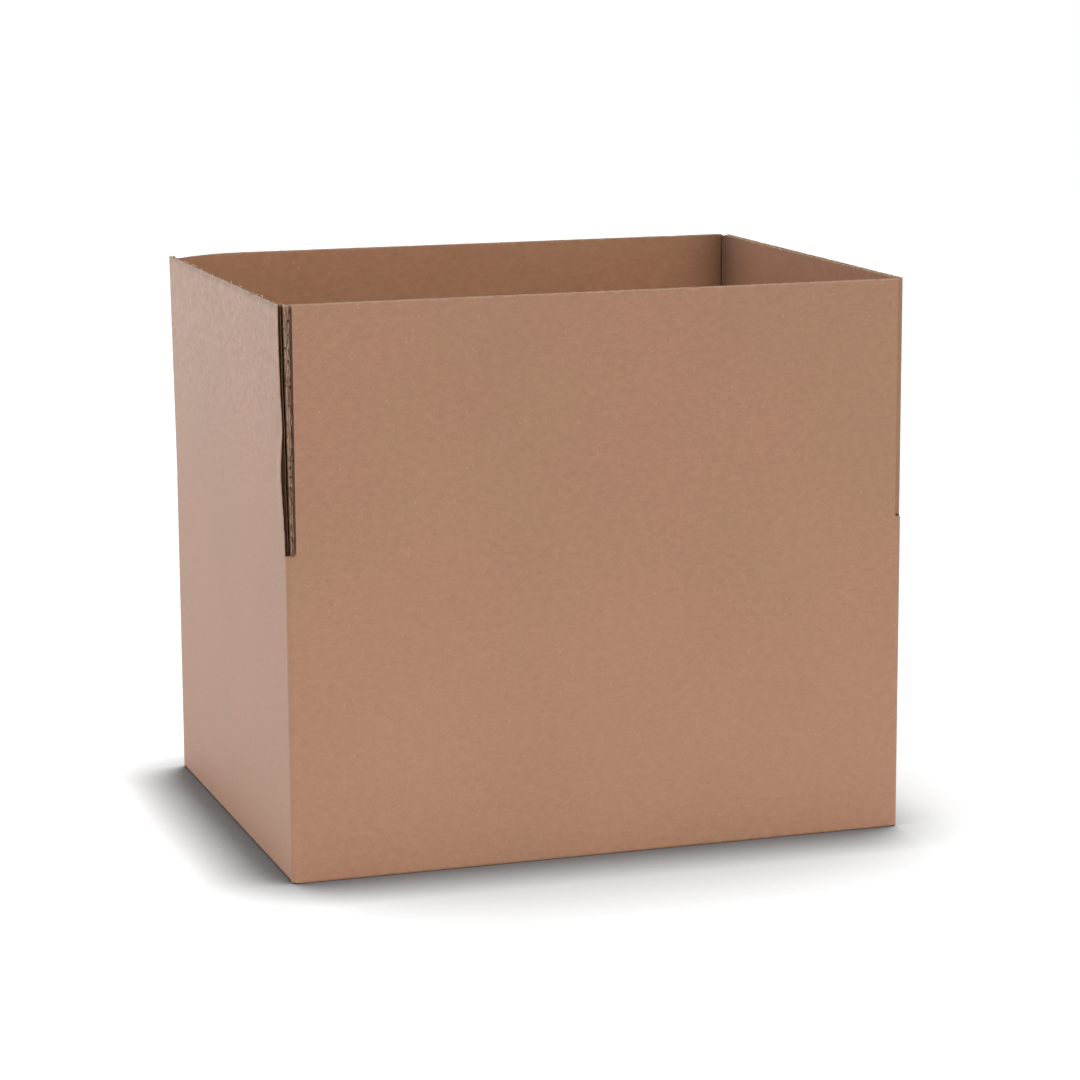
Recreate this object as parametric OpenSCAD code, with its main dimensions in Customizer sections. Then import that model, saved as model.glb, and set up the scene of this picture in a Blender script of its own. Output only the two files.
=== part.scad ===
// Corrugated shipping box, open, with its four top flaps standing up.
// The sheet is folded once round four vertical creases and closed at a glued joint.
// Origin: centre of the footprint, on the surface that the box stands on.
// +X runs along the length, -Y is the front and +Z is up.

/* [Box] */
// Outside length, left to right
box_len = 400; // [320:5:600]
// Outside width, front to back
box_wid = 306; // [240:2:500]
// Height of the front and back walls, up to the top crease
wall_h = 203; // [141:2:401]
// Gap left between two long flaps that meet in the middle
seam_gap = 6; // [1:0.5:10]

/* [Board] */
// Thickness of the corrugated board
board_t = 4; // [3.4:0.1:5]
// Thickness of each flat liner
liner_t = 0.45; // [0.3:0.05:0.6]
// Thickness of the fluted medium between the liners
medium_t = 0.35; // [0.25:0.05:0.5]
// Length of one flute, from crest to crest
flute_len = 7.8; // [7:0.1:10]

/* [Folds] */
// Inside radius of a folded edge
fold_r = 0.7; // [0.3:0.1:1.5]
// Angle of each side of the groove that a top flap folds into
groove_a = 46; // [45.5:0.5:50]
// Outside radius of a bottom crease, which is pressed sharper than a corner
crease_r = 2; // [1:0.1:3]
// Height of the corners' lower ends above the floor
corner_lift = 0.8; // [0.3:0.1:2]
// Height of the side walls' lower edges above the floor
side_lift = 0.4; // [0.2:0.1:2]
// Run from the side wall's face over which a short bottom flap climbs onto the long ones
climb = 14; // [10:1:30]
// How far the slots stop below the long flaps' crease
slot_drop = 1; // [0:0.5:3]

/* [Flaps] */
// Clearance from a folded corner to the flap beside it
slot_clear = 0.3; // [0.2:0.1:3]
// Clearance between a closed long flap and the short flaps under it
stack_clear = 0.3; // [0.2:0.1:1]
// Clearance between the two flaps that meet over the glued joint
joint_clear = 0.15; // [0.1:0.05:1]
// Angle that the left flap leans outwards at rest
left_lean = 0.7; // [0:0.1:3]
// Length of the back flap's rim that its worn corner takes
wear_len = 42; // [20:1:60]
// Radius of the worn corner's curve
wear_r = 350; // [80:5:500]

/* [Glued joint] */
// Width of the glue tab, from the corner's outer face
tab_w = 35; // [25:1:60]
// How much each end of the tab slopes in, from fold to free edge
tab_slope = 12; // [0:1:25]
// Clearance from the tab's ends to the folded flaps
tab_clear = 1.5; // [0.5:0.1:5]
// How far glue holds the tab flat into its fold
glue_lap = 0.8; // [0.4:0.1:1.5]
// How far the side wall's raw edge stops short of the back face
raw_gap = 1; // [0.2:0.1:3]

/* [Hidden] */
$fn = 48;
cut = 10;                                    // how far a cutting shape runs past what it cuts
kraft = [0.66, 0.51, 0.41];
half_len = box_len / 2;
half_wid = box_wid / 2;
out_r = board_t + fold_r;                    // outside radius of a fold
slot = out_r + slot_clear;                   // from a corner to the flap's end beside it
reach = half_wid - seam_gap / 2;             // a long flap stops half a gap short of the middle
long_crease = wall_h;
short_crease = wall_h - board_t - stack_clear;
rim = wall_h + reach;                        // every flap is cut at the sheet's straight edge
slot_end = wall_h - slot_drop;
tab_top = short_crease - board_t - tab_clear;
tab_bottom = 2 * board_t + fold_r + tab_clear;
open_t = (board_t - 2 * liner_t - medium_t) / 2; // each channel, where a cut runs along the flutes
wave = open_t;                               // the medium swings this far from the board's middle

// The panels, named by the side they stand on, and the turn that puts each in its place.
// In a panel's own frame X runs along the crease, Y inwards from the outer face and Z up.
FRONT = 0;
RIGHT = 90;
BACK = 180;
LEFT = -90;

module on_side(side)
    rotate([0, 0, side])
        translate([0, side == FRONT || side == BACK ? -half_wid : -half_len, 0])
            children();

// Section of a panel and its bottom flap: X is inwards, Y is up.
module along(from, to)
    translate([from, 0, 0])
        rotate([90, 0, 90])
            linear_extrude(to - from)
                children();

// Board section

// Height of the medium's near surface at a phase of its wave, above the outer face
function medium_y(phase) =
    board_t / 2 + wave * cos(phase)
    - medium_t / 2 * sqrt(1 + pow(wave * 2 * PI / flute_len * sin(phase), 2));

// One open cell between the outer liner and the crest of the medium, centred on X = 0
module flute_cell(pitch)
    polygon([
        for (p = [-155, 155]) [p / 360 * pitch, liner_t],
        for (p = [85, 32, -32, -85]) [p / 360 * pitch, medium_y(p)]
    ]);

// Two liners and the wavy medium, cut through a flank of the wave at both ends.
// Pressed, the flute at the near end is crushed shut.
module fluted_board(from, to, pressed = false) {
    count = round((to - from) / flute_len);
    pitch = (to - from) / count;
    first = pressed ? 1 : 0;
    difference() {
        translate([from, 0])
            square([to - from, board_t]);
        for (i = [first : count])
            translate([from + (i - 0.25) * pitch, 0])
                flute_cell(pitch);
        for (i = [first : count])
            translate([from + (i + 0.25) * pitch, board_t])
                mirror([0, 1])
                    flute_cell(pitch);
    }
}

// The two channels that show on a far edge cut along the flutes
module raw_channels(edge)
    for (y = [liner_t, board_t - liner_t - open_t])
        translate([edge - flute_len / 4, y])
            square([cut, open_t]);

// Top flaps

// A flap from its crease to the rim, with its lower end cut back to fold inwards
module top_flap(crease, from, to, pressed = false)
    difference() {
        linear_extrude(rim - crease)
            fluted_board(from, to, pressed);
        along(from - cut, to + cut)
            polygon([[0, 0], [2 * board_t, 2 * board_t * tan(groove_a)], [2 * board_t, -cut], [0, -cut]]);
    }

// What wear has taken off the upper corner at a flap's far end
module worn_corner(to)
    translate([to, -cut, rim - long_crease])
        rotate([-90, 0, 0])
            linear_extrude(board_t + 2 * cut)
                difference() {
                    translate([-wear_len, -cut])
                        square([wear_len + cut, wear_len + cut]);
                    translate([-wear_len, wear_r])
                        circle(wear_r, $fn = 180);
                }

module front_flap()
    color(kraft)
        on_side(FRONT)
            translate([0, 0, long_crease])
                top_flap(long_crease, -half_len + slot, half_len - slot);

module back_flap()
    color(kraft)
        on_side(BACK)
            translate([0, 0, long_crease])
                difference() {
                    top_flap(long_crease, -half_len + board_t + joint_clear, half_len - slot);
                    worn_corner(half_len - slot);
                }

module left_flap()
    color(kraft)
        on_side(LEFT)
            translate([0, 0, short_crease])
                rotate([left_lean, 0, 0])
                    top_flap(short_crease, -half_wid + slot, half_wid - slot);

module right_flap()
    color(kraft)
        on_side(RIGHT)
            translate([0, 0, short_crease])
                top_flap(short_crease, -half_wid + slot, half_wid - board_t - joint_clear, true);

// Box body

// A wall's straight part, its top cut to the same groove as the flap above it
module wall(from, to, bottom, crease)
    along(from, to)
        polygon([[0, bottom], [0, crease], [board_t, crease - board_t * tan(groove_a)], [board_t, bottom]]);

// The quarter ring of a folded corner, from one outer face round to the next
module fold_ring()
    translate([out_r, out_r])
        difference() {
            circle(out_r);
            circle(fold_r);
            translate([0, -2 * out_r])
                square(4 * out_r);
            translate([-2 * out_r, 0])
                square(4 * out_r);
        }

// What a bottom crease's rounding takes off the square corner at the origin
module crease_relief()
    difference() {
        translate([-cut, -cut])
            square(cut + crease_r);
        translate([crease_r, crease_r])
            circle(crease_r);
    }

// A wall's lower end, rounded over to the flap at a height above the floor
module lower_end(from, to, lift)
    along(from, to)
        translate([0, lift])
            difference() {
                square([board_t, out_r + board_t - lift]);
                crease_relief();
            }

// A long bottom flap, flat on the floor
module long_bottom_flap(from, to)
    along(from, to)
        difference() {
            square([reach, board_t]);
            crease_relief();
        }

// A short bottom flap, which climbs from its crease to lie on the long ones
module short_bottom_flap(from, to)
    along(from, to)
        polygon([
            [crease_r, side_lift], [climb, board_t], [reach, board_t], [reach, 2 * board_t],
            [climb, 2 * board_t], [board_t, side_lift + out_r], [crease_r, side_lift + out_r]
        ]);

// A folded corner, standing at the panel's left end
module corner_fold(bottom, top)
    translate([-half_len, 0, bottom])
        linear_extrude(top - bottom)
            fold_ring();

// The tab that the back panel carries round the corner, glued inside the right wall
module glue_tab()
    translate([half_len - 2 * board_t, half_wid, 0])
        rotate([90, 0, 90])
            linear_extrude(board_t)
                polygon([
                    [glue_lap - out_r, tab_bottom], [-out_r, tab_bottom],
                    [-tab_w, tab_bottom + tab_slope], [-tab_w, tab_top - tab_slope],
                    [-out_r, tab_top], [glue_lap - out_r, tab_top]
                ]);

module front_and_back() {
    on_side(FRONT) {
        wall(-half_len + out_r, half_len - out_r, out_r, long_crease);
        lower_end(-half_len + out_r, half_len - out_r, 0);
        long_bottom_flap(-half_len + slot, half_len - slot);
    }
    on_side(BACK) {
        wall(-half_len + board_t + out_r, half_len - out_r, out_r, long_crease);
        wall(-half_len + board_t + joint_clear, 0, tab_top, long_crease);
        along(-half_len + board_t + joint_clear, 0)
            translate([0, out_r])
                square([board_t, tab_bottom - out_r]);
        lower_end(-half_len + board_t + joint_clear, half_len - out_r, 0);
        long_bottom_flap(-half_len + slot, half_len - slot);
    }
}

module left_and_right() {
    on_side(LEFT) {
        wall(-half_wid + out_r, half_wid - out_r, out_r, short_crease);
        lower_end(-half_wid + out_r, half_wid - out_r, side_lift);
        short_bottom_flap(-half_wid + slot, half_wid - slot);
    }
    on_side(RIGHT) {
        difference() {
            wall(-half_wid + out_r, half_wid - raw_gap, side_lift + crease_r, short_crease);
            linear_extrude(rim)
                raw_channels(half_wid - raw_gap);
        }
        lower_end(-half_wid + out_r, half_wid - out_r, side_lift);
        short_bottom_flap(-half_wid + slot, half_wid - slot);
    }
}

module corners() {
    on_side(FRONT)
        corner_fold(corner_lift, slot_end);
    mirror([1, 0, 0])
        on_side(FRONT)
            corner_fold(corner_lift, slot_end);
    mirror([0, 1, 0])
        on_side(FRONT)
            corner_fold(corner_lift, slot_end);
    on_side(BACK)
        translate([board_t, 0, 0])
            corner_fold(tab_bottom, tab_top);
}

module box_body()
    color(kraft)
        union() {
            front_and_back();
            left_and_right();
            corners();
            glue_tab();
        }

box_body();
front_flap();
back_flap();
left_flap();
right_flap();
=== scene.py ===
"""An open corrugated shipping box with its top flaps standing up, on a pale floor."""

import math

import bmesh
import bpy
import numpy as np
from mathutils import Matrix, Vector, noise


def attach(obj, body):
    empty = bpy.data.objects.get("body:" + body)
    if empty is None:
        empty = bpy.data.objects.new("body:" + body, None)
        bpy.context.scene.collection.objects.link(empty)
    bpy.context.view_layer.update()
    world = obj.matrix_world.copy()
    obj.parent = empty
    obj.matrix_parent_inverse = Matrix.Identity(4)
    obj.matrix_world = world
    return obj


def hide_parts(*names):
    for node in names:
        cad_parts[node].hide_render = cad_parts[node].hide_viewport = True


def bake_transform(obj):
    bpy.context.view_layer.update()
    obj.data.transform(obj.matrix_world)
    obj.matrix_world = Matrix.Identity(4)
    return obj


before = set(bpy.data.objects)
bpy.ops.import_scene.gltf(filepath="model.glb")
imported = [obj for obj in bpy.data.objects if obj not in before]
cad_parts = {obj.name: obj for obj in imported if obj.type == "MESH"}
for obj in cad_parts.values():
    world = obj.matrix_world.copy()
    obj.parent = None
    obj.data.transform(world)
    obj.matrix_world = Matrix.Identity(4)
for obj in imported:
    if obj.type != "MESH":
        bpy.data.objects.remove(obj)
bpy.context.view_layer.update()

MM = 0.001

# Sizes of the part, in metres
HALF_LEN = 200 * MM
HALF_WID = 153 * MM
BOARD = 4 * MM
LINER = 0.45 * MM
MEDIUM = 0.3 * MM
WAVE = (BOARD - 2 * LINER - MEDIUM) / 2
FLUTE = 7.8 * MM
LONG_CREASE = 203 * MM
SHORT_CREASE = 198.7 * MM
RIM = 353 * MM
SLOT = 5 * MM
JOINT_CLEAR = 0.15 * MM
GROOVE = math.tan(math.radians(46))
LEFT_LEAN = math.radians(0.7)
WEAR_LEN = 42 * MM
WEAR_R = 350 * MM
SLOT_TEAR = 0.7 * MM                         # what is torn off the front flap beside the left slot

# How the flaps are drawn
LAYER_ROWS = 90                              # points up a liner
MEDIUM_ROWS = 10                             # points up a medium that stays straight
WAVE_STEPS = 14                              # points along one flute
END_COLUMNS = np.array([0, 0.3, 0.9, 2.0, 4.0]) * MM    # a liner's columns beside its ends
SPREAD_FROM = 6 * MM                         # from here on its columns are evenly spaced
RIM_WAVER = 0.14 * MM                        # how far a cut rim goes up and down
RIM_CHIP = 0.6 * MM                          # depth of the small chips along a rim
FRAY = 0.25 * MM                             # how far a liner's cut end wanders
FRAY_REACH = 2 * MM                          # the fray has died out this far from the end
CRUSH_REACH = 9 * MM                         # and the crushing of the flutes this far from it

# A strip of crushed board at a flap's end
STRIP_ROWS = 240
STRIP_COLUMNS = 25
STRIP_THICK = 0.22 * MM
PLEAT_PITCH = 1.1 * MM

# The pressed crease: heights from the hinge, and how deep the inner face is pressed in at each
CREASE_Z = np.array([-6.5, -5.2, -4.2, -3.2, -2.2, -1.1, 0, 1.1, 2.2, 3.2, 4.2, 5.2, 6.5]) * MM
CREASE_DEPTH = np.array([0, 0, 0.05, 0.45, 0.95, 1.3, 1.4, 1.3, 0.95, 0.45, 0.05, 0, 0]) * MM
CREASE_COLUMNS = 90
CREASE_TURN = 4.2 * MM                       # the strip turns this far below and above the hinge
SKIN = 0.02 * MM                             # how far the strip stands off the board

# Material of each face of a piece of board
# the medium's faces and the liners' sides facing the flutes are darkened as painted shade
LINER_FACE, SHADED_MEDIUM_FACE, CUT_FACE, TORN_FACE = 0, 1, 2, 3

# The left flap's crushed front end, in mm: middle height, half height, how far its liner stands out
LEFT_SWELLS = ((50, 40, 1.1), (80, 24, -0.7), (128, 24, 0.2))

# The turn that puts each panel in its place, and the distance of its outer face from the centre
SIDES = {
    "front": (0, HALF_WID),
    "right": (90, HALF_LEN),
    "back": (180, HALF_WID),
    "left": (-90, HALF_LEN),
}

# The photograph's viewpoint
CAMERA_AT = Vector((-0.68184, -2.08382, 0.58882))
CAMERA_AZ = math.radians(18.354)
CAMERA_EL = math.radians(10.751)
CAMERA_ROLL = math.radians(-0.294)
CAMERA_LENS = 113.26

# Colours, in linear light
KRAFT = (0.358, 0.184, 0.109, 1)
KRAFT_DARK = (0.16, 0.08, 0.045, 1)
KRAFT_WORN = (0.56, 0.40, 0.29, 1)
PINKER = (1.015, 0.995, 1.0, 1)
GREENER = (0.985, 1.008, 0.99, 1)
INNER_TINT = (1.03, 1.005, 0.90, 1)          # the inner liner is a slightly redder sheet
CORNER_SHADE = (0.42, 0.36, 0.31, 1)          # painted shade in the inner corner over the glued joint
LEFT_SCUFF = (0.66, 0.60, 0.53, 1)           # handling has darkened the left flap's rim
# painted shade: the near-black inside small holes of bare pulp
PIT_SHADE = (0.035, 0.018, 0.011, 1)
# painted shade: the medium's brown, darker than its own so the flute channels look shaded
SHADED_MEDIUM_BROWN = (0.13, 0.066, 0.036, 1)
CUT_PULP = (0.37, 0.245, 0.17, 1)
TORN_BEIGE = (0.36, 0.245, 0.165, 1)
FLOOR_WHITE = (0.94, 0.94, 0.94, 1)

# Noise scales of the liner's short fibres, across and along them
FIBRE_ACROSS, FIBRE_ALONG = 480, 150

# How far the painted shade in the glued joint's inner corner reaches along the back flap and the
# right one
SHADE_BACK, SHADE_RIGHT = 40 * MM, 80 * MM

SKY_LIGHT = 0.76
FLOOR_SIZE = 8
FLOOR_GLOW = 1.22                            # at this strength the open floor is white
FLOOR_SEEN = 0.8                             # share of the floor's look that is its glow

# Lamps: place, target, width, depth and power
LAMPS = {
    "key": ((0, -1.7, 2.6), (0, 0, 0.2), 1.4, 1.4, 26),
    "top": ((0, -0.02, 1.3), (0, 0.02, 0.1), 0.4, 0.25, 7.2),
    "side": ((-1.2, 1.8, 0.16), (-0.2, 0, 0.12), 1.2, 0.4, 6),
}


class Nodes:
    """Short calls for building a node tree."""

    def __init__(self, tree):
        self.tree = tree
        tree.nodes.clear()

    def add(self, kind, **settings):
        made = self.tree.nodes.new(kind)
        for name, value in settings.items():
            setattr(made, name, value)
        return made

    def put(self, socket, value):
        if isinstance(value, bpy.types.NodeSocket):
            self.tree.links.new(value, socket)
        else:
            socket.default_value = value

    def math(self, operation, a, b=0.0, clamp=False):
        made = self.add("ShaderNodeMath", operation=operation, use_clamp=clamp)
        self.put(made.inputs[0], a)
        self.put(made.inputs[1], b)
        return made.outputs[0]

    def scale(self, vector, factors):
        made = self.add("ShaderNodeVectorMath", operation="MULTIPLY")
        self.put(made.inputs[0], vector)
        self.put(made.inputs[1], factors)
        return made.outputs[0]

    def split(self, vector):
        made = self.add("ShaderNodeSeparateXYZ")
        self.put(made.inputs[0], vector)
        return made.outputs

    def noise(self, vector, scale, detail, roughness, offset=(0, 0, 0)):
        moved = self.add("ShaderNodeVectorMath", operation="ADD")
        self.put(moved.inputs[0], vector)
        moved.inputs[1].default_value = offset
        made = self.add("ShaderNodeTexNoise")
        self.put(made.inputs["Vector"], moved.outputs[0])
        made.inputs["Scale"].default_value = scale
        made.inputs["Detail"].default_value = detail
        made.inputs["Roughness"].default_value = roughness
        return made.outputs[0]

    def span(self, value, low, high, to_low=0.0, to_high=1.0):
        """Maps low to to_low and high to to_high, held at both ends."""
        made = self.add("ShaderNodeMapRange", clamp=True)
        for socket, v in zip(made.inputs, (value, low, high, to_low, to_high)):
            self.put(socket, v)
        return made.outputs[0]

    def mix(self, factor, a, b, mode="MIX"):
        made = self.add("ShaderNodeMix", data_type="RGBA", blend_type=mode)
        self.put(made.inputs["Factor"], factor)
        self.put(made.inputs[6], a)
        self.put(made.inputs[7], b)
        return made.outputs[2]

    def grey(self, value):
        made = self.add("ShaderNodeCombineColor")
        for socket in made.inputs[:3]:
            self.put(socket, value)
        return made.outputs[0]


def fibre_noise(n, place, normal):
    """Short fibres that lie along a panel's width, on the bottom flaps too."""
    _, _, height = n.split(place)
    _, _, nz = n.split(normal)
    on_long_flap = n.math("LESS_THAN", height, 1.5 * BOARD)
    flat = n.math("GREATER_THAN", n.math("ABSOLUTE", nz), 0.7)
    fine, long = FIBRE_ACROSS, FIBRE_ALONG
    lying = n.mix(on_long_flap, (fine, long, long, 1), (long, fine, long, 1))
    finest = n.mix(flat, (long, long, fine, 1), lying)
    return n.noise(n.scale(place, finest), 1.0, detail=4.0, roughness=0.6)


def inner_side(n, place):
    """1 on the box's inner faces and 0 on its outer ones, by their place when it stands open."""
    x, y, z = n.split(place)
    between_ends = n.math("LESS_THAN", n.math("ABSOLUTE", x), HALF_LEN - BOARD / 2)
    between_sides = n.math("LESS_THAN", n.math("ABSOLUTE", y), HALF_WID - BOARD / 2)
    within = n.math("MULTIPLY", between_ends, between_sides)
    return n.math("MULTIPLY", within, n.math("GREATER_THAN", z, BOARD / 2))


def joint_corner_shade(n, place):
    """Painted shade: 1 in the corner where two top flaps meet over the glued joint, fading along
    both of them.
    """
    x, y, z = n.split(place)
    along_back = n.span(x, HALF_LEN - BOARD - SHADE_BACK, HALF_LEN - BOARD)
    along_right = n.span(y, HALF_WID - BOARD - SHADE_RIGHT, HALF_WID - BOARD)
    near = n.math("MAXIMUM", n.math("ADD", n.math("ADD", along_back, along_right), -1.0), 0.0)
    height = n.span(z, SHORT_CREASE - 30 * MM, SHORT_CREASE + 50 * MM, 0.3, 1.0)
    return n.math("MULTIPLY", n.math("MULTIPLY", near, near), height)


def specks(n, place, scale, share, size):
    """Small scattered spots: 1 inside a spot, 0 around it."""
    cells = n.add("ShaderNodeTexVoronoi", feature="F1")
    n.put(cells.inputs["Vector"], place)
    cells.inputs["Scale"].default_value = scale
    near = n.span(cells.outputs["Distance"], size * 0.5, size, 1.0, 0.0)
    few = n.math("LESS_THAN", n.split(cells.outputs["Color"])[0], share)
    return n.math("MULTIPLY", near, few)


def finish_paper(n, shade, rough, relief, depth, gloss, sheen):
    """The shader that all the papers share, with its relief as a bump of this depth."""
    bump = n.add("ShaderNodeBump")
    n.put(bump.inputs["Height"], relief)
    bump.inputs["Strength"].default_value = 0.4
    bump.inputs["Distance"].default_value = depth
    shader = n.add("ShaderNodeBsdfPrincipled")
    n.put(shader.inputs["Base Color"], shade)
    n.put(shader.inputs["Roughness"], rough)
    n.put(shader.inputs["Normal"], bump.outputs[0])
    shader.inputs["Specular IOR Level"].default_value = gloss
    shader.inputs["Sheen Weight"].default_value = sheen
    shader.inputs["Sheen Roughness"].default_value = 0.4
    out = n.add("ShaderNodeOutputMaterial")
    n.put(out.inputs["Surface"], shader.outputs[0])


def liner_material():
    """Brown kraft liner: mottled pulp, short fibres, small flecks, scuffed rim, painted light and
    shade.
    """
    material = bpy.data.materials.new("kraft_liner")
    material.use_nodes = True
    n = Nodes(material.node_tree)
    coords = n.add("ShaderNodeTexCoord")
    place, normal = coords.outputs["Object"], coords.outputs["Normal"]
    _, _, height = n.split(place)
    fibres = fibre_noise(n, place, normal)

    cloud = n.noise(place, 11, detail=3.0, roughness=0.5)
    blotch = n.noise(n.scale(place, (1, 1, 1.3)), 170, detail=3.0, roughness=0.6, offset=(3, 1, 2))
    grain = n.noise(place, 900, detail=3.0, roughness=0.6, offset=(1, 5, 2))
    tone = n.span(cloud, 0.3, 0.7, -0.025, 0.025)
    tone = n.math("ADD", tone, n.span(blotch, 0.3, 0.7, -0.065, 0.065))
    tone = n.math("ADD", tone, n.span(fibres, 0.3, 0.7, -0.045, 0.045))
    tone = n.math("ADD", tone, n.span(grain, 0.3, 0.7, -0.05, 0.05))
    # painted light and shade: the liner is lighter towards the bottom and darker towards the rim
    tone = n.math("ADD", tone, n.span(height, 0.0, RIM / 2, 0.095, -0.02))
    tone = n.math("ADD", tone, n.span(height, RIM / 2, RIM, 0.0, -0.055))
    shade = n.mix(1.0, KRAFT, n.grey(n.math("ADD", tone, 1.0)), "MULTIPLY")
    hue = n.noise(place, 9, detail=2.0, roughness=0.5, offset=(7, 2, 4))
    pinker = n.mix(1.0, shade, PINKER, "MULTIPLY")
    greener = n.mix(1.0, shade, GREENER, "MULTIPLY")
    shade = n.mix(n.span(hue, 0.38, 0.62), pinker, greener)
    inside = inner_side(n, place)
    shade = n.mix(inside, shade, n.mix(1.0, shade, INNER_TINT, "MULTIPLY"))
    # painted shade: the inner faces darken towards the corner where the back and right flaps meet
    corner = n.math("MULTIPLY", joint_corner_shade(n, place), inside)
    shade = n.mix(corner, shade, n.mix(1.0, shade, CORNER_SHADE, "MULTIPLY"))

    uneven = n.math("ADD", height, n.span(blotch, 0.3, 0.7, -0.5 * MM, 0.5 * MM))
    dark_flecks = specks(n, n.scale(place, (1, 1, 1.5)), 170, share=0.22, size=0.13)
    shade = n.mix(n.math("MULTIPLY", dark_flecks, 0.38), shade, KRAFT_DARK)
    pale_flecks = specks(n, n.scale(place, (1, 1, 0.7)), 240, share=0.2, size=0.16)
    shade = n.mix(n.math("MULTIPLY", pale_flecks, 0.25), shade, KRAFT_WORN)

    bare = n.noise(place, 130, detail=3.0, roughness=0.6, offset=(5, 5, 1))
    # partly worn fibres and partly a painted highlight: the liner is paler along its rim
    at_rim = n.span(uneven, RIM - 1.3 * MM, RIM - 0.5 * MM)
    rim = n.math("MULTIPLY", at_rim, n.span(bare, 0.35, 0.6, 0.3, 1.0))
    shade = n.mix(n.math("MULTIPLY", rim, 0.22), shade, KRAFT_WORN)
    on_left = n.span(n.split(place)[0], -HALF_LEN, -HALF_LEN + 3 * MM, 1.0, 0.0)
    scuffed = n.math("ADD", height, n.span(bare, 0.3, 0.7, -2 * MM, 1.5 * MM))
    scuffed = n.math("MULTIPLY", on_left, n.span(scuffed, RIM - 5 * MM, RIM - 0.5 * MM))
    shade = n.mix(scuffed, shade, n.mix(1.0, shade, LEFT_SCUFF, "MULTIPLY"))

    rough = n.span(blotch, 0.3, 0.7, 0.52, 0.66)
    relief = n.math("ADD", n.math("MULTIPLY", fibres, 0.5), n.math("MULTIPLY", blotch, 0.5))
    finish_paper(n, shade, rough, relief, depth=0.07 * MM, gloss=0.5, sheen=0.08)
    return material


def pulp_material(name, colour, pale, rough_low, rough_high, pitted, streak):
    """Bare pulp of the medium, of a cut or of a torn edge, paler where it is worn at the rim.

    pitted is its share of pits painted near-black as shade; streak is how dark its upright streaks
    are.
    """
    material = bpy.data.materials.new(name)
    material.use_nodes = True
    n = Nodes(material.node_tree)
    place = n.add("ShaderNodeTexCoord").outputs["Object"]
    fibres = n.noise(n.scale(place, (900, 900, 300)), 1.0, detail=4.0, roughness=0.65)
    clumps = n.noise(place, 420, detail=4.0, roughness=0.6, offset=(2, 8, 5))
    shade = n.mix(n.span(fibres, 0.35, 0.7, 0.0, 0.5), colour, pale)
    shade = n.mix(1.0, shade, n.grey(n.span(clumps, 0.3, 0.7, 0.82, 1.14)), "MULTIPLY")
    streaks = n.noise(
        n.scale(place, (1300, 1300, 170)), 1.0, detail=4.0, roughness=0.65, offset=(4, 4, 9))
    streaks = n.math("MULTIPLY", n.span(streaks, 0.56, 0.40), streak, clamp=True)
    # painted shade: near-black spots stand for the shade inside small holes
    pits = specks(n, n.scale(place, (1, 1, 0.6)), 480, share=pitted, size=0.4)
    shade = n.mix(streaks, shade, KRAFT_DARK)
    shade = n.mix(n.math("MULTIPLY", pits, 0.85), shade, PIT_SHADE)
    at_rim = n.span(n.split(place)[2], RIM - 2.2 * MM, RIM - 0.8 * MM, 0.0, 0.6)
    at_rim = n.math("MULTIPLY", at_rim, n.span(clumps, 0.35, 0.55, 0.5, 1.0))
    shade = n.mix(at_rim, shade, KRAFT_WORN)
    rough = n.span(clumps, 0.3, 0.7, rough_low, rough_high)
    relief = n.math("ADD", n.math("MULTIPLY", fibres, 0.5), n.math("MULTIPLY", clumps, 0.5))
    finish_paper(n, shade, rough, relief, depth=0.15 * MM, gloss=0.12, sheen=0.0)
    return material


def smooth(t):
    """Eases from 0 to 1."""
    t = np.clip(t, 0, 1)
    return t * t * (3 - 2 * t)


def ripple(x, z, size, seed):
    """Smooth noise from -1 to 1 over a panel, with features of about this size."""
    flat = [
        noise.noise(Vector((u / size, v / size, seed * 7.31)))
        for u, v in zip(np.ravel(x), np.ravel(z))
    ]
    return np.reshape(flat, np.shape(x))


class Board:
    """Collects closed sheets of one piece in a panel's own frame: X along, Y inwards, Z up."""

    def __init__(self):
        self.points, self.faces, self.kinds = [], [], []
        self.count = 0

    def sheet(self, near, far, kinds):
        """A closed sheet between two grids of points. kinds: near side, far side, cut edges."""
        rows, columns = near.shape[:2]
        base = self.count
        self.points += [near.reshape(-1, 3), far.reshape(-1, 3)]
        self.count += 2 * rows * columns
        index = np.arange(rows * columns).reshape(rows, columns)
        a, b, c, d = index[:-1, :-1], index[1:, :-1], index[1:, 1:], index[:-1, 1:]
        quads = np.stack([a, b, c, d], -1).reshape(-1, 4)
        other = quads[:, ::-1] + rows * columns
        loop = np.concatenate([index[:, 0], index[-1, 1:], index[-2::-1, -1], index[0, -2:0:-1]])
        after = np.roll(loop, -1)
        edge = np.stack([after, loop, loop + rows * columns, after + rows * columns], -1)
        for quads_here, kind in ((quads, kinds[0]), (other, kinds[1]), (edge, kinds[2])):
            self.faces += (quads_here + base).tolist()
            self.kinds += [kind] * len(quads_here)

    def build(self, name, place, materials):
        """Makes the piece, with its points taken to the row frame."""
        points = place(np.concatenate(self.points))
        mesh = bpy.data.meshes.new(name)
        mesh.from_pydata(points.tolist(), [], self.faces)
        mesh.polygons.foreach_set("material_index", self.kinds)
        for material in materials:
            mesh.materials.append(material)
        mesh.update()
        work = bmesh.new()
        work.from_mesh(mesh)
        bmesh.ops.recalc_face_normals(work, faces=work.faces)
        work.to_mesh(mesh)
        work.free()
        mesh.polygons.foreach_set("use_smooth", [True] * len(mesh.polygons))
        mesh.set_sharp_from_angle(angle=math.radians(30))
        piece = bpy.data.objects.new(name, mesh)
        bpy.context.scene.collection.objects.link(piece)
        return piece


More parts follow.
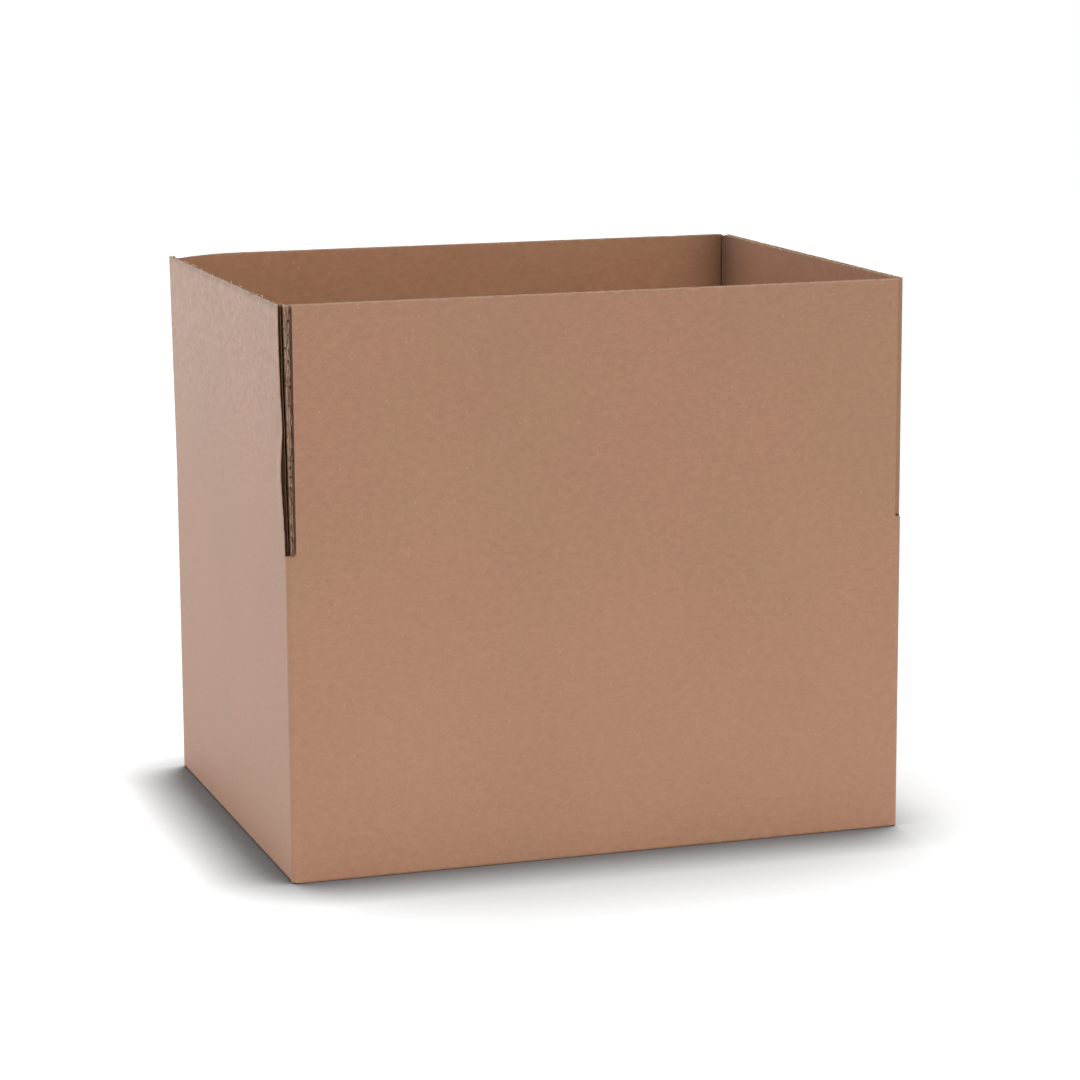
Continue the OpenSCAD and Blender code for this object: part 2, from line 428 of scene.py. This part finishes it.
def placer(side, crease, lean=0.0):
    """Takes points with heights above a crease to the row frame."""
    turn, distance = SIDES[side]
    angle = math.radians(turn)

    def place(points):
        x, y, z = points.T
        y, z = y * math.cos(lean) - z * math.sin(lean), y * math.sin(lean) + z * math.cos(lean)
        y = y - distance
        return np.stack([
            x * math.cos(angle) - y * math.sin(angle),
            x * math.sin(angle) + y * math.cos(angle),
            z + crease,
        ], -1)

    return place


def grid(xs, low, high, rows):
    """Columns at xs, each with its own lower and upper end."""
    t = np.linspace(0, 1, rows)[None, :]
    z = low[:, None] + (high - low)[:, None] * t
    return np.repeat(xs[:, None], rows, 1), z


def torn_strip(board, x, reach, low, high, seed, wander=0.1 * MM, crumple=0.1 * MM, spread=0.0,
               pleat=0.0, kind=TORN_FACE):
    """A rough strip of crushed board across a flap's end, from one depth to another.

    Its far edge wanders, spread widens the strip with height and pleat is the depth of its upright
    folds.
    """
    z = np.repeat(np.linspace(low, high, STRIP_ROWS)[None, :], STRIP_COLUMNS, 0)
    share = np.repeat(np.linspace(0, 1, STRIP_COLUMNS)[:, None], STRIP_ROWS, 1)
    inner = reach[0] + 0.4 * wander * ripple(z * 0, z, 4 * MM, seed)
    torn = ripple(z * 0, z, 8 * MM, seed + 1) + 0.7 * ripple(z * 0, z, 2.2 * MM, seed + 2)
    outer = reach[1] + spread * z + wander * torn
    y = inner + (outer - inner) * share
    rough = ripple(y, z * 0.45, 1.5 * MM, seed + 3) + 0.6 * ripple(y, z, 0.8 * MM, seed + 4)
    rough *= crumple
    folds = np.sin(2 * math.pi * (y / PLEAT_PITCH + 0.5 * ripple(y * 0, z, 16 * MM, seed + 5)))
    rough += pleat * folds * (0.6 + 0.4 * ripple(y, z, 6 * MM, seed + 6))
    near = np.stack([x + rough, y, z], -1)
    far = np.stack([x + rough + STRIP_THICK, y, z], -1)
    board.sheet(near, far, (kind, kind, kind))


def flap(side, crease, start, end, seed, lean=0.0, rim=None, crush=(0, 0), fray=(FRAY, FRAY),
         short_inner=0.0, bulge=None, stray=None, pinch=None, medium_rows=MEDIUM_ROWS, strips=()):
    """A top flap of fluted board: two liners with the wavy medium between them.

    crush is the share by which its flutes are pressed flat at its two ends, and fray is how far
    the cuts wander there. short_inner is what its inner liner lacks at the near end. bulge, stray
    and pinch move its outer liner, its medium and the whole section, and strips are the torn
    strips across its ends.
    """
    board = Board()
    height = RIM - crease
    count = round((end - start) / FLUTE)
    pitch = (end - start) / count
    rim = rim or (lambda x: np.full_like(x, height))

    def layer(xs, near_y, far_y, rows, kinds, edge_seed, trim=0.0, ends=(0.0, 0.0), swell=None):
        low_near, low_far = near_y * GROOVE, far_y * GROOVE
        top = rim(xs) - trim - RIM_WAVER * (1 + ripple(xs, xs * 0, 3 * MM, edge_seed))
        top -= RIM_CHIP * smooth((ripple(xs, xs * 0, 9 * MM, edge_seed + 3) - 0.4) / 0.3)
        grids = []
        for y, low in ((near_y, low_near), (far_y, low_far)):
            x, z = grid(xs, low, top, rows)
            depth = np.repeat(y[:, None], rows, 1)
            if swell:
                depth = depth - swell(x, z)
            if pinch:
                depth = depth * (1 - pinch(x, z))
            torn = smooth(1 - (x - start) / FRAY_REACH) * ends[0]
            torn = torn + smooth(1 - (end - x) / FRAY_REACH) * ends[1]
            wander = ripple(x * 0, z, 5 * MM, edge_seed + 5)
            wander = wander + 0.5 * ripple(x * 0, z, 1.6 * MM, edge_seed + 6)
            direction = np.where(x > (start + end) / 2, -1, 1)
            x = x + direction * torn * (0.6 + 0.6 * wander)
            grids.append(np.stack([x, depth, z], -1))
        board.sheet(grids[0], grids[1], kinds)

    spread = np.linspace(start + SPREAD_FROM, end - SPREAD_FROM, 2 * count)
    xs = np.concatenate([start + END_COLUMNS, spread, end - END_COLUMNS[::-1]])
    inner_xs = np.concatenate([start + short_inner + END_COLUMNS, spread, end - END_COLUMNS[::-1]])
    # the liners' sides that face the flutes take the medium's brown, darkened as painted shade
    layer(xs, xs * 0, xs * 0 + LINER, LAYER_ROWS,
          (LINER_FACE, SHADED_MEDIUM_FACE, CUT_FACE), seed, ends=fray, swell=bulge)
    layer(inner_xs, xs * 0 + BOARD - LINER, xs * 0 + BOARD, LAYER_ROWS,
          (SHADED_MEDIUM_FACE, LINER_FACE, CUT_FACE), seed + 1, trim=0.1 * MM, ends=fray)

    wave_x = np.linspace(start, end, count * WAVE_STEPS + 1)
    squeeze = np.ones_like(wave_x)
    for distance, amount in ((wave_x - start, crush[0]), (end - wave_x, crush[1])):
        squeeze *= 1 - amount * smooth(1 - distance / CRUSH_REACH)
    phase = 2 * math.pi * ((wave_x - start) / pitch + 0.25)
    middle = BOARD / 2 + squeeze * WAVE * np.cos(phase)
    slope = -squeeze * WAVE * 2 * math.pi / pitch * np.sin(phase)
    half = MEDIUM / 2 * np.sqrt(1 + slope ** 2)
    layer(wave_x, middle - half, middle + half, medium_rows,
          (SHADED_MEDIUM_FACE, SHADED_MEDIUM_FACE, SHADED_MEDIUM_FACE), seed + 2, trim=0.15 * MM,
          ends=(2 * fray[0], 2 * fray[1]), swell=stray)
    for at, reach, settings in strips:
        foot = min(max(reach), BOARD) * GROOVE + 0.25 * MM
        torn_strip(board, at, reach, foot, height - 0.5 * MM, seed + 20, **settings)
    return board, placer(side, crease, lean)


def worn_rim(end):
    """The back flap's rim, which wear has rounded down towards its far end."""
    def height(x):
        from_start = np.maximum(x - (end - WEAR_LEN), 0)
        return RIM - LONG_CREASE - (WEAR_R - np.sqrt(WEAR_R ** 2 - from_start ** 2))

    return height


def crease_strip(side, crease, start, end, materials, seed):
    """The pressed crease at a top flap's foot."""
    board = Board()
    xs = np.linspace(start, end, CREASE_COLUMNS)
    z = np.repeat(CREASE_Z[None, :], len(xs), 0)
    x = np.repeat(xs[:, None], len(CREASE_Z), 1)
    dip = CREASE_DEPTH[None, :] * (1 + 0.2 * ripple(x, z, 12 * MM, seed))
    near = np.minimum(np.abs(z) / GROOVE, BOARD - SKIN)
    board.sheet(
        np.stack([x, near, z], -1),
        np.stack([x, np.maximum(BOARD + SKIN - dip, near + SKIN / 2), z], -1),
        (SHADED_MEDIUM_FACE, LINER_FACE, CUT_FACE),
    )
    place = placer(side, crease)
    strip = board.build(side + "_crease", place, materials)
    foot, head = place(np.array([[0, 0, -CREASE_TURN], [0, 0, CREASE_TURN]]))
    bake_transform(strip)


def near_front(x, length):
    """Rises from 0 to 1 over the last stretch of the left flap, at its front end."""
    return smooth((x - (HALF_WID - SLOT - length)) / (0.85 * length))


def left_swell(x, z):
    """The left flap's outer liner stands out and dents in along its crushed front end."""
    total = 0
    for middle, half, amount in LEFT_SWELLS:
        total = total + amount * MM * smooth(1 - np.abs(z - middle * MM) / (half * MM))
    return near_front(x, 14 * MM) * total


def left_stray(x, z):
    """The left flap's medium wanders between the liners at its crushed front end."""
    wander = ripple(x * 0, z, 17 * MM, 81) + 0.4 * ripple(x * 0, z, 5 * MM, 82)
    return 0.5 * MM * near_front(x, 6 * MM) * wander


def left_pinch(x, z):
    """Stretches of the left flap's rim that handling has pressed thinner."""
    top = smooth((z - (RIM - SHORT_CREASE - 5 * MM)) / (4.5 * MM))
    dents = ripple(x, x * 0, 13 * MM, 61) + 0.6 * ripple(x, x * 0, 4 * MM, 62)
    pressed = smooth((dents + 0.4) / 0.5)
    return top * (0.15 + 0.55 * pressed) * (1 - near_front(x, 8 * MM))


def top_flaps(materials):
    """The four top flaps, each with the pressed crease at its foot."""
    plans = {
        "front": (LONG_CREASE, -HALF_LEN + SLOT + SLOT_TEAR, HALF_LEN - SLOT, {
            "crush": (0.5, 0.3),
        }),
        "back": (LONG_CREASE, -HALF_LEN + BOARD + JOINT_CLEAR, HALF_LEN - SLOT, {
            "rim": worn_rim(HALF_LEN - SLOT),
            "fray": (0.0, FRAY),
            "short_inner": 1.3 * MM,
            # crushed medium across the back flap's end, in the medium's brown darkened as painted
            # shade
            "strips": [(-HALF_LEN + BOARD + 0.03 * MM, (0.4 * MM, 4.1 * MM),
                        {"wander": 0.0, "crumple": 0.0, "kind": SHADED_MEDIUM_FACE})],
        }),
        "left": (SHORT_CREASE, -HALF_WID + SLOT, HALF_WID - SLOT, {
            "lean": LEFT_LEAN,
            "crush": (0.3, 0.9),
            "bulge": left_swell,
            "stray": left_stray,
            "pinch": left_pinch,
            "medium_rows": 36,
            "strips": [
                (HALF_WID - SLOT - 0.05 * MM, (3.6 * MM, 5.6 * MM), {
                    "wander": 0.6 * MM, "crumple": 0.3 * MM, "pleat": 0.25 * MM,
                    "spread": math.tan(LEFT_LEAN)}),
                # a dark sheet of medium set back behind the torn strip: painted shade for the gap
                # beside the front flap
                (HALF_WID - SLOT - 0.9 * MM, (4.3 * MM, 7.8 * MM), {
                    "crumple": 0.15 * MM, "pleat": 0.2 * MM,
                    "spread": math.tan(LEFT_LEAN), "kind": SHADED_MEDIUM_FACE}),
            ],
        }),
        "right": (SHORT_CREASE, -HALF_WID + SLOT, HALF_WID - BOARD - 0.06 * MM, {
            "crush": (0.8, 0.3),
            "fray": (0.15 * MM, 0.0),
            "strips": [(-HALF_WID + SLOT, (0.2 * MM, 3.8 * MM),
                        {"crumple": 0.06 * MM, "kind": LINER_FACE})],
        }),
    }
    for seed, (side, (crease, start, end, extra)) in enumerate(plans.items()):
        board, place = flap(side, crease, start, end, 10 * seed, **extra)
        piece = board.build(side + "_flap_board", place, materials)
        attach(piece, side + "_flap")
        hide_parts(side + "_flap")
        crease_strip(side, crease, start, end, materials, 10 * seed + 7)


def dress_cad_nodes(material):
    """Gives every CAD node the liner's paper."""
    for name in ("box_body", "front_flap", "back_flap", "left_flap", "right_flap"):
        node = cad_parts[name]
        node.data.materials.clear()
        node.data.materials.append(material)


def occlusion(n, distance, lean):
    """How open the sky is over the floor, counted towards one side more than the others."""
    made = n.add("ShaderNodeAmbientOcclusion", samples=16)
    made.inputs["Distance"].default_value = distance
    leaning = n.add("ShaderNodeCombineXYZ")
    for socket, value in zip(leaning.inputs, lean):
        socket.default_value = value
    n.put(made.inputs["Normal"], leaning.outputs[0])
    return made.outputs["AO"]


def seen_directly(n):
    """1 for rays from the camera, straight or through a reflection, and 0 for light."""
    rays = n.add("ShaderNodeLightPath").outputs
    seen = n.math("ADD", rays["Is Camera Ray"], rays["Is Glossy Ray"], clamp=True)
    return n.math("ADD", seen, rays["Is Transmission Ray"], clamp=True)


def floor():
    """A pale floor, which darkens by how much sky the box hides from it."""
    bpy.ops.mesh.primitive_plane_add(size=FLOOR_SIZE)
    plane = bpy.context.object
    plane.name = "floor"
    material = bpy.data.materials.new("floor_paper")
    material.use_nodes = True
    n = Nodes(material.node_tree)
    matte = n.add("ShaderNodeBsdfDiffuse")
    n.put(matte.inputs["Color"], FLOOR_WHITE)
    close = occlusion(n, distance=0.055, lean=(0.45, 0.3, 0.84))
    wide = occlusion(n, distance=0.2, lean=(-0.15, 0.8, 0.58))
    open_sky = n.math("MULTIPLY", n.span(close, 0.42, 1.0), n.span(wide, 0.285, 0.87, 0.333, 1.0))
    glow = n.add("ShaderNodeEmission")
    n.put(glow.inputs["Strength"], n.math("MULTIPLY", open_sky, FLOOR_GLOW))
    seen = n.add("ShaderNodeMixShader")
    n.put(seen.inputs[0], n.math("MULTIPLY", seen_directly(n), FLOOR_SEEN))
    n.put(seen.inputs[1], matte.outputs[0])
    n.put(seen.inputs[2], glow.outputs[0])
    out = n.add("ShaderNodeOutputMaterial")
    n.put(out.inputs["Surface"], seen.outputs[0])
    plane.data.materials.append(material)


def sky():
    """Even light from all round, white where the camera sees it."""
    world = bpy.data.worlds.new("studio")
    bpy.context.scene.world = world
    world.use_nodes = True
    n = Nodes(world.node_tree)
    background = n.add("ShaderNodeBackground")
    background.inputs["Color"].default_value = (1, 1, 1, 1)
    n.put(background.inputs["Strength"], n.span(seen_directly(n), 0, 1, SKY_LIGHT, 1.0))
    out = n.add("ShaderNodeOutputWorld")
    n.put(out.inputs["Surface"], background.outputs[0])


def softbox(name, at, target, width, depth, power):
    """A rectangular lamp that the camera doesn't see."""
    lamp = bpy.data.lights.new(name, "AREA")
    lamp.shape = "RECTANGLE"
    lamp.size, lamp.size_y = width, depth
    lamp.energy = power
    holder = bpy.data.objects.new(name, lamp)
    bpy.context.scene.collection.objects.link(holder)
    holder.location = at
    holder.rotation_euler = (Vector(target) - Vector(at)).to_track_quat("-Z", "Y").to_euler()
    holder.visible_camera = False


def camera():
    """The photograph's viewpoint."""
    lens = bpy.data.cameras.new("camera")
    lens.lens = CAMERA_LENS
    lens.sensor_width = 36
    holder = bpy.data.objects.new("camera", lens)
    bpy.context.scene.collection.objects.link(holder)
    ahead = Vector((
        math.sin(CAMERA_AZ) * math.cos(CAMERA_EL),
        math.cos(CAMERA_AZ) * math.cos(CAMERA_EL),
        -math.sin(CAMERA_EL),
    ))
    level = Vector((math.cos(CAMERA_AZ), -math.sin(CAMERA_AZ), 0))
    upward = level.cross(ahead)
    right = level * math.cos(CAMERA_ROLL) + upward * math.sin(CAMERA_ROLL)
    up = upward * math.cos(CAMERA_ROLL) - level * math.sin(CAMERA_ROLL)
    holder.matrix_world = Matrix((
        (right.x, up.x, -ahead.x, CAMERA_AT.x),
        (right.y, up.y, -ahead.y, CAMERA_AT.y),
        (right.z, up.z, -ahead.z, CAMERA_AT.z),
        (0, 0, 0, 1),
    ))
    bpy.context.scene.camera = holder


liner = liner_material()
medium = pulp_material(
    "shaded_fluting_medium", SHADED_MEDIUM_BROWN, KRAFT, rough_low=0.8, rough_high=0.95, pitted=0.1, streak=0.3)
cut_edge = pulp_material(
    "cut_edge", CUT_PULP, KRAFT_WORN, rough_low=0.75, rough_high=0.9, pitted=0.15, streak=0.5)
torn_edge = pulp_material(
    "torn_edge", TORN_BEIGE, KRAFT_WORN, rough_low=0.8, rough_high=0.95, pitted=0.4, streak=0.95)
dress_cad_nodes(liner)
top_flaps((liner, medium, cut_edge, torn_edge))
floor()
sky()
for name, settings in LAMPS.items():
    softbox(name, *settings)
camera()
bpy.context.scene.view_settings.view_transform = "Standard"
